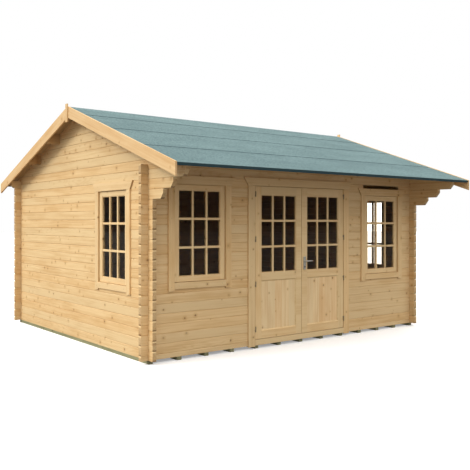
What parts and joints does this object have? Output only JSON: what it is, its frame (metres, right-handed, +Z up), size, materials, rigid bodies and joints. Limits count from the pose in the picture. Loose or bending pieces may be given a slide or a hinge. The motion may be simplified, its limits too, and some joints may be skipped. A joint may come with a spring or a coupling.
{
  "type": "log cabin",
  "caption": "Interlocking-log garden cabin with a shallow gable roof, stepped corbel eaves, part-glazed double doors with a lever handle, and glazed side and front windows.",
  "frame": {"origin": "on the ground below the ridge line, midway between the two side walls", "axes": "+X along the ridge towards the right side wall, -Y out of the double doors at the front, +Z up"},
  "size_m": [5.166, 5.26, 3.168],
  "materials": {
    "log_wood": "planed untreated spruce",
    "trim_wood": "planed untreated spruce boards",
    "barge_wood": "planed untreated spruce boards",
    "window_wood": "planed untreated spruce joinery",
    "door_wood": "planed untreated spruce joinery",
    "roof_timber": "planed spruce boards and purlins",
    "floor_boards": "planed spruce boards",
    "treated_timber": "pressure-treated greenish timber",
    "roof_felt": "mineral-faced green-grey bitumen felt",
    "window_glass": "clear float glass",
    "hinge_steel": "dark zinc-plated steel",
    "handle_steel": "brushed steel"
  },
  "bodies": {
    "cabin": {"bearers": "treated_timber", "floor": "floor_boards", "front_wall_left": "log_wood", "front_wall_right": "log_wood", "front_wall_over_door": "log_wood", "back_wall": "log_wood", "left_wall": "log_wood", "right_wall": "log_wood", "ridge_purlin": "roof_timber", "purlins": "roof_timber", "roof_boards_front": "roof_timber", "roof_boards_back": "roof_timber", "felt_front": "roof_felt", "felt_back": "roof_felt", "felt_ridge": "roof_felt", "left_bargeboard_front": "barge_wood", "left_bargeboard_back": "barge_wood", "right_bargeboard_front": "barge_wood", "right_bargeboard_back": "barge_wood", "finials": "barge_wood", "front_window_frames": "window_wood", "side_window_frames": "window_wood", "front_window_sashes": "window_wood", "side_window_sashes": "window_wood", "front_window_glass": "window_glass", "side_window_glass": "window_glass", "front_window_trims": "trim_wood", "side_window_trims": "trim_wood", "door_frame": "door_wood", "door_trim": "trim_wood", "hinge_pins": "hinge_steel"},
    "left_door": {"left_leaf": "door_wood", "left_leaf_panel": "door_wood", "left_leaf_glass": "window_glass", "left_leaf_knuckles": "hinge_steel"},
    "right_door": {"right_leaf": "door_wood", "right_leaf_panel": "door_wood", "right_leaf_glass": "window_glass", "right_leaf_knuckles": "hinge_steel", "handle_plates": "handle_steel"},
    "lever": {"door_lever": "handle_steel"}
  },
  "joints": [
    {"name": "left_door_hinge", "type": "hinge", "parent": "cabin", "child": "left_door", "pos_m": [-0.807, -1.772, 1.1], "axis": [0, 0, -1], "range_deg": [0, 110]},
    {"name": "right_door_hinge", "type": "hinge", "parent": "cabin", "child": "right_door", "pos_m": [0.807, -1.772, 1.1], "axis": [0, 0, 1], "range_deg": [0, 110]},
    {"name": "lever_turn", "type": "hinge", "parent": "right_door", "child": "lever", "pos_m": [0.052, -1.76, 1.085], "axis": [0, 1, 0], "range_deg": [0, 40], "stiffness_Nm_per_rad": 1.5, "springref_deg": -28.65}
  ]
}
